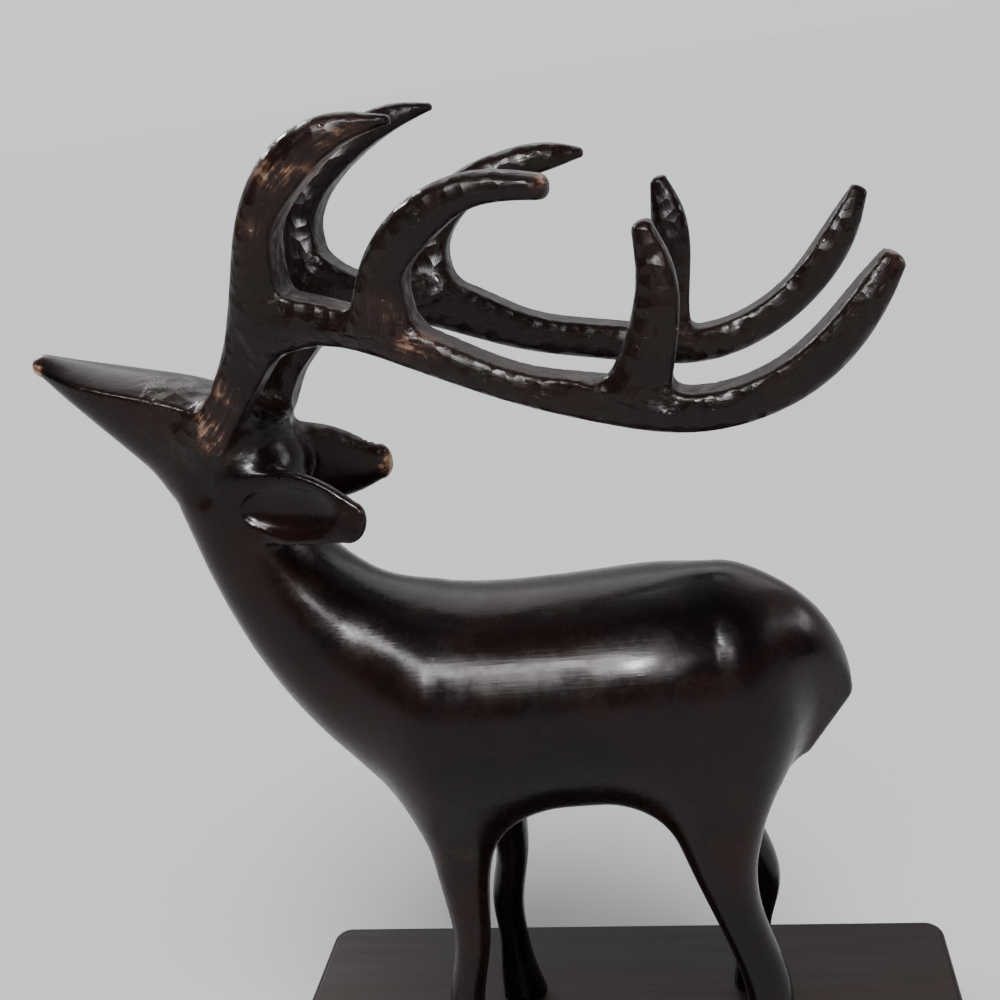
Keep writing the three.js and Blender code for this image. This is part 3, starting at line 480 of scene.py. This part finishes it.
# ------------------------------------------------------------------ material helpers
class Graph:
    def __init__(self, mat):
        mat.use_nodes = True
        self.t = mat.node_tree
        self.t.nodes.clear()
        self.out = self.node("ShaderNodeOutputMaterial")
        self.bsdf = self.node("ShaderNodeBsdfPrincipled")
        self.link(self.bsdf.outputs["BSDF"], self.out.inputs["Surface"])

    def node(self, kind, **kw):
        n = self.t.nodes.new(kind)
        for k, v in kw.items():
            setattr(n, k, v)
        return n

    def link(self, a, b):
        self.t.links.new(a, b)

    def set(self, n, **kw):
        for k, v in kw.items():
            s = n.inputs[k.replace("_", " ")]
            if isinstance(v, bpy.types.NodeSocket):
                self.link(v, s)
            else:
                s.default_value = v
        return n

    def attr(self, name, vector=False):
        n = self.node("ShaderNodeAttribute", attribute_name=name)
        return n.outputs["Vector" if vector else "Fac"]

    def coords(self):
        return self.node("ShaderNodeTexCoord").outputs["Object"]

    def scaled(self, vec, scale, turn=(0, 0, 0)):
        n = self.node("ShaderNodeMapping")
        self.link(vec, n.inputs["Vector"])
        n.inputs["Scale"].default_value = scale
        n.inputs["Rotation"].default_value = turn
        return n.outputs["Vector"]

    def noise(self, vec, scale, detail=4.0, rough=0.55, lac=2.0, distort=0.0):
        n = self.node("ShaderNodeTexNoise")
        self.link(vec, n.inputs["Vector"])
        self.set(n, Scale=scale, Detail=detail, Roughness=rough, Lacunarity=lac, Distortion=distort)
        return n.outputs["Fac"]

    def cells(self, vec, scale, feature="F1", rand=1.0):
        n = self.node("ShaderNodeTexVoronoi", feature=feature)
        self.link(vec, n.inputs["Vector"])
        self.set(n, Scale=scale, Randomness=rand)
        return n.outputs["Distance"]

    def math(self, op, a, b=0.0, clamp=False):
        n = self.node("ShaderNodeMath", operation=op, use_clamp=clamp)
        for k, v in enumerate((a, b)):
            if isinstance(v, bpy.types.NodeSocket):
                self.link(v, n.inputs[k])
            else:
                n.inputs[k].default_value = v
        return n.outputs[0]

    def ramp(self, x, lo, hi, out_lo=0.0, out_hi=1.0):
        n = self.node("ShaderNodeMapRange", interpolation_type="SMOOTHSTEP")
        self.link(x, n.inputs[0])
        for k, v in zip(range(1, 5), (lo, hi, out_lo, out_hi)):
            n.inputs[k].default_value = v
        return n.outputs[0]

    def mix(self, fac, a, b):
        n = self.node("ShaderNodeMix", data_type="RGBA")
        for k, v in ((0, fac), (6, a), (7, b)):
            if isinstance(v, bpy.types.NodeSocket):
                self.link(v, n.inputs[k])
            else:
                n.inputs[k].default_value = v if k == 0 else (*v, 1.0)
        return n.outputs[2]

    def mixf(self, fac, a, b):
        n = self.node("ShaderNodeMix", data_type="FLOAT")
        for k, v in ((0, fac), (2, a), (3, b)):
            if isinstance(v, bpy.types.NodeSocket):
                self.link(v, n.inputs[k])
            else:
                n.inputs[k].default_value = v
        return n.outputs[0]

    def bump(self, height, distance, strength=1.0, base=None):
        n = self.node("ShaderNodeBump")
        self.set(n, Strength=strength, Distance=distance)
        self.link(height, n.inputs["Height"])
        if base is not None:
            self.link(base, n.inputs["Normal"])
        return n.outputs["Normal"]


# ------------------------------------------------------------------ bronze
bronze = bpy.data.materials.new("patinated_bronze")
g = Graph(bronze)
xyz = g.coords()
flowv = g.attr("flow", True)
inner_, crease_, antler_, tip_ = g.attr("inner"), g.attr("crease"), g.attr("antler"), g.attr("tip")
bridge_, proud_ = g.attr("bridge"), g.attr("proud")

rub_ = g.attr("rub")
big = g.noise(xyz, 24.0, 3.0, 0.5)
mid = g.noise(xyz, 110.0, 3.0, 0.6)
fine = g.noise(xyz, 620.0, 3.0, 0.65)
speck = g.noise(xyz, 420.0, 4.0, 0.75)
patch = g.noise(xyz, 170.0, 4.0, 0.7)
# fine marks along the hand-filed surfaces
strand = g.noise(g.scaled(flowv, (0.06, 1, 1)), 1500.0, 3.0, 0.6)
# where the dark skin has been handled away: the rubbed places, broken by noise
rubbed = g.math("MULTIPLY", rub_, g.ramp(g.math("ADD", g.math("MULTIPLY", patch, 0.6), g.math("MULTIPLY", strand, 0.4)), 0.40, 0.62, 0.35, 1.35))
# a few bare specks on proud edges of the antlers and on the flank
bare = g.math("MULTIPLY", g.ramp(speck, 0.66, 0.74), g.math("ADD", g.math("MULTIPLY", g.math("MAXIMUM", proud_, 0.0), 0.9), g.math("MULTIPLY", rub_, 1.2)))
worn = g.ramp(g.math("MAXIMUM", rubbed, bare), 0.36, 0.80)
hint = g.ramp(rubbed, 0.05, 0.6)

dark = g.mix(g.ramp(big, 0.40, 0.66), (0.0115, 0.0076, 0.0084), (0.0260, 0.0108, 0.0104))
dark = g.mix(g.math("MULTIPLY", g.ramp(mid, 0.45, 0.78), 0.45), dark, (0.033, 0.0145, 0.0130))
dark = g.mix(g.math("MULTIPLY", antler_, 0.35), dark, (0.034, 0.0185, 0.0165))
dark = g.mix(g.math("MULTIPLY", hint, 0.85), dark, (0.090, 0.042, 0.031))
copper = g.mix(g.ramp(fine, 0.35, 0.7), (0.34, 0.20, 0.135), (0.60, 0.42, 0.30))
colour = g.mix(worn, dark, copper)
g.link(colour, g.bsdf.inputs["Base Color"])
g.link(g.mixf(worn, 0.0, 0.55), g.bsdf.inputs["Metallic"])
rough = g.math("ADD", g.math("MULTIPLY", g.ramp(mid, 0.3, 0.75), 0.10), 0.20)
rough = g.math("ADD", rough, g.math("MULTIPLY", g.ramp(fine, 0.4, 0.75), 0.06))
rough = g.math("ADD", rough, g.math("MULTIPLY", g.math("MULTIPLY", inner_, antler_), 0.12))
rough = g.math("ADD", rough, g.math("MULTIPLY", g.ramp(strand, 0.4, 0.7), g.math("MULTIPLY", antler_, 0.10)))
g.link(rough, g.bsdf.inputs["Roughness"])
g.set(g.bsdf, IOR=1.42)

# relief: hand-worked undulation, file and brush marks, hammering, pits
lumps = g.noise(xyz, 62.0, 2.0, 0.5)
n1 = g.bump(lumps, 0.0007, 0.45)
hammer = g.math("MULTIPLY", g.cells(xyz, 300.0, "F1"), antler_)
n2 = g.bump(hammer, 0.0009, 0.5, n1)
pits = g.math("MULTIPLY", g.ramp(speck, 0.62, 0.72), g.math("ADD", g.math("MULTIPLY", antler_, 0.8), 0.08))
n2 = g.bump(pits, 0.0002, 0.7, n2)
n3 = g.bump(g.math("MULTIPLY", strand, antler_), 0.00009, 0.7, n2)
scr = g.noise(g.scaled(xyz, (0.05, 1.0, 1.0), (0.2, 0.35, 0.1)), 1700.0, 2.0, 0.5)
n4 = g.bump(scr, 0.00004, 0.5, n3)
g.link(n4, g.bsdf.inputs["Normal"])

me.materials.append(bronze)
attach(stag_ob, "root")
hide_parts("stag")

# ------------------------------------------------------------------ wooden board
wood = bpy.data.materials.new("dark_wood")
w = Graph(wood)
xyz = w.coords()
grain = w.scaled(xyz, (0.05, 1.0, 1.0), (0, 0, 0.02))
rings = w.noise(grain, 260.0, 4.0, 0.6, distort=0.4)
pores = w.noise(w.scaled(xyz, (0.03, 1.0, 1.0)), 1500.0, 2.0, 0.5)
tone = w.noise(w.scaled(xyz, (0.3, 1.0, 1.0)), 22.0, 3.0, 0.5)
c = w.mix(w.ramp(rings, 0.3, 0.7), (0.013, 0.0058, 0.0055), (0.024, 0.0095, 0.0080))
c = w.mix(w.math("MULTIPLY", w.ramp(tone, 0.4, 0.7), 0.5), c, (0.010, 0.0048, 0.0046))
c = w.mix(w.math("MULTIPLY", w.ramp(pores, 0.62, 0.72), 0.7), c, (0.006, 0.0035, 0.003))
w.link(c, w.bsdf.inputs["Base Color"])
w.link(w.math("ADD", w.math("MULTIPLY", w.ramp(rings, 0.3, 0.7), 0.10), 0.36), w.bsdf.inputs["Roughness"])
w.set(w.bsdf, IOR=1.4)
b1 = w.bump(rings, 0.00012, 0.5)
w.link(w.bump(pores, 0.00012, 0.5, b1), w.bsdf.inputs["Normal"])

BASE_L, BASE_W, BASE_H, CORNER, EDGE = 186.0, 93.0, 18.0, 5.0, 2.0


def board(name):
    """Rounded board: one plan outline, laid in rows up the rounded edges."""
    def outline(inset, n=10):
        x, y, r = BASE_L / 2 - inset, BASE_W / 2 - inset, CORNER - inset
        pts = []
        for cx, cy, a0 in ((x - r, -(y - r), -90), (x - r, y - r, 0), (-(x - r), y - r, 90), (-(x - r), -(y - r), 180)):
            for k in range(n + 1):
                a = math.radians(a0 + 90 * k / n)
                pts.append((cx + r * math.cos(a), cy + r * math.sin(a)))
        return pts
    rows = []
    arc = 8
    for k in range(arc + 1):
        a = math.pi / 2 * k / arc
        rows.append((EDGE - EDGE * math.sin(a), EDGE - EDGE * math.cos(a)))
    for k in range(arc + 1):
        a = math.pi / 2 * k / arc
        rows.append((EDGE - EDGE * math.cos(a), BASE_H - EDGE + EDGE * math.sin(a)))
    verts, faces = [], []
    for inset, z in rows:
        verts += [(x / 1000, y / 1000, z / 1000) for x, y in outline(inset)]
    n = len(verts) // len(rows)
    for r in range(len(rows) - 1):
        for k in range(n):
            a, b = r * n + k, r * n + (k + 1) % n
            faces.append((a, b, b + n, a + n))
    faces.append(tuple(range(n))[::-1])
    faces.append(tuple(range((len(rows) - 1) * n, len(rows) * n)))
    m = bpy.data.meshes.new(name)
    m.from_pydata(verts, [], faces)
    m.validate()
    for p in m.polygons:
        p.use_smooth = len(p.vertices) == 4
    ob = bpy.data.objects.new(name, m)
    bpy.context.scene.collection.objects.link(ob)
    return ob


board_ob = board("base_board")
board_ob.data.materials.append(wood)
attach(board_ob, "root")
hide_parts("base")

# ------------------------------------------------------------------ stage and light
floor_mat = bpy.data.materials.new("pale_floor")
f = Graph(floor_mat)
tone = f.noise(f.coords(), 6.0, 2.0, 0.5)
f.link(f.mix(tone, (0.77, 0.775, 0.78), (0.81, 0.81, 0.815)), f.bsdf.inputs["Base Color"])
f.set(f.bsdf, Roughness=1.0, Specular_IOR_Level=0.0)
fm = bpy.data.meshes.new("floor")
R = 40.0
ring = [(R * math.cos(2 * math.pi * k / 96), R * math.sin(2 * math.pi * k / 96), 0.0) for k in range(96)]
fm.from_pydata(ring, [], [tuple(range(96))])
floor = bpy.data.objects.new("floor", fm)
bpy.context.scene.collection.objects.link(floor)
fm.materials.append(floor_mat)

bpy.context.scene.view_settings.look = "AgX - Medium High Contrast"
BACK = (0.755, 0.76, 0.77)
world = bpy.data.worlds.new("studio")
bpy.context.scene.world = world
world.use_nodes = True
wt = world.node_tree
wt.nodes.clear()
w_out = wt.nodes.new("ShaderNodeOutputWorld")
seen = wt.nodes.new("ShaderNodeBackground")
seen.inputs["Color"].default_value = (*BACK, 1)
room = wt.nodes.new("ShaderNodeBackground")
# the room is dim on the near side, and as pale as the backdrop behind the statue
way = wt.nodes.new("ShaderNodeTexCoord")
split = wt.nodes.new("ShaderNodeSeparateXYZ")
shade = wt.nodes.new("ShaderNodeMapRange")
shade.interpolation_type = "SMOOTHSTEP"
for k, v in zip(range(1, 5), (-0.15, 0.45, 0.05, 0.55)):
    shade.inputs[k].default_value = v
wt.links.new(way.outputs["Generated"], split.inputs[0])
wt.links.new(split.outputs["Y"], shade.inputs[0])
wt.links.new(shade.outputs[0], room.inputs["Strength"])
room.inputs["Color"].default_value = (0.96, 0.98, 1.0, 1)
path = wt.nodes.new("ShaderNodeLightPath")
pick = wt.nodes.new("ShaderNodeMixShader")
wt.links.new(path.outputs["Is Camera Ray"], pick.inputs[0])
wt.links.new(room.outputs[0], pick.inputs[1])
wt.links.new(seen.outputs[0], pick.inputs[2])
wt.links.new(pick.outputs[0], w_out.inputs["Surface"])


def lamp(name, kind, at, look, power, size=None, colour=(1, 1, 1), sheen=True, wash=True):
    l = bpy.data.lights.new(name, kind)
    if kind == "AREA":
        l.shape = "RECTANGLE"
        l.size, l.size_y = size
    else:
        l.angle = math.radians(size)
    l.energy = power
    l.color = colour
    ob = bpy.data.objects.new(name, l)
    ob.location = at
    ob.rotation_euler = (Vector(look) - Vector(at)).to_track_quat("-Z", "Y").to_euler()
    ob.visible_glossy, ob.visible_diffuse = sheen, wash
    bpy.context.scene.collection.objects.link(ob)


# the wide lamp lights the floor; the small ones only draw the gleams on the metal
lamp("sky", "SUN", (0.10, -0.40, 1.0), (0.0, 0.0, 0.12), 2.35, 30.0, sheen=False)
for name, at, power, size in (
        ("window", (-0.014, -0.809, 0.738), 6.0, (0.17, 0.10)),
        ("window_side", (-0.26, -0.645, 0.865), 4.4, (0.50, 0.14)),
        ("window_end", (0.30, -0.84, 0.60), 1.1, (0.12, 0.12)),
        ("backdrop", (0.0, 0.83, 0.95), 6.0, (2.0, 0.8)),
        ("far_window", (-0.72, 0.62, 0.75), 3.0, (0.45, 0.16)),
        ("end_window", (0.97, 0.12, 0.50), 1.3, (0.45, 0.14))):
    lamp(name, "AREA", at, (0.0, 0.0, 0.15), power, size, wash=False)
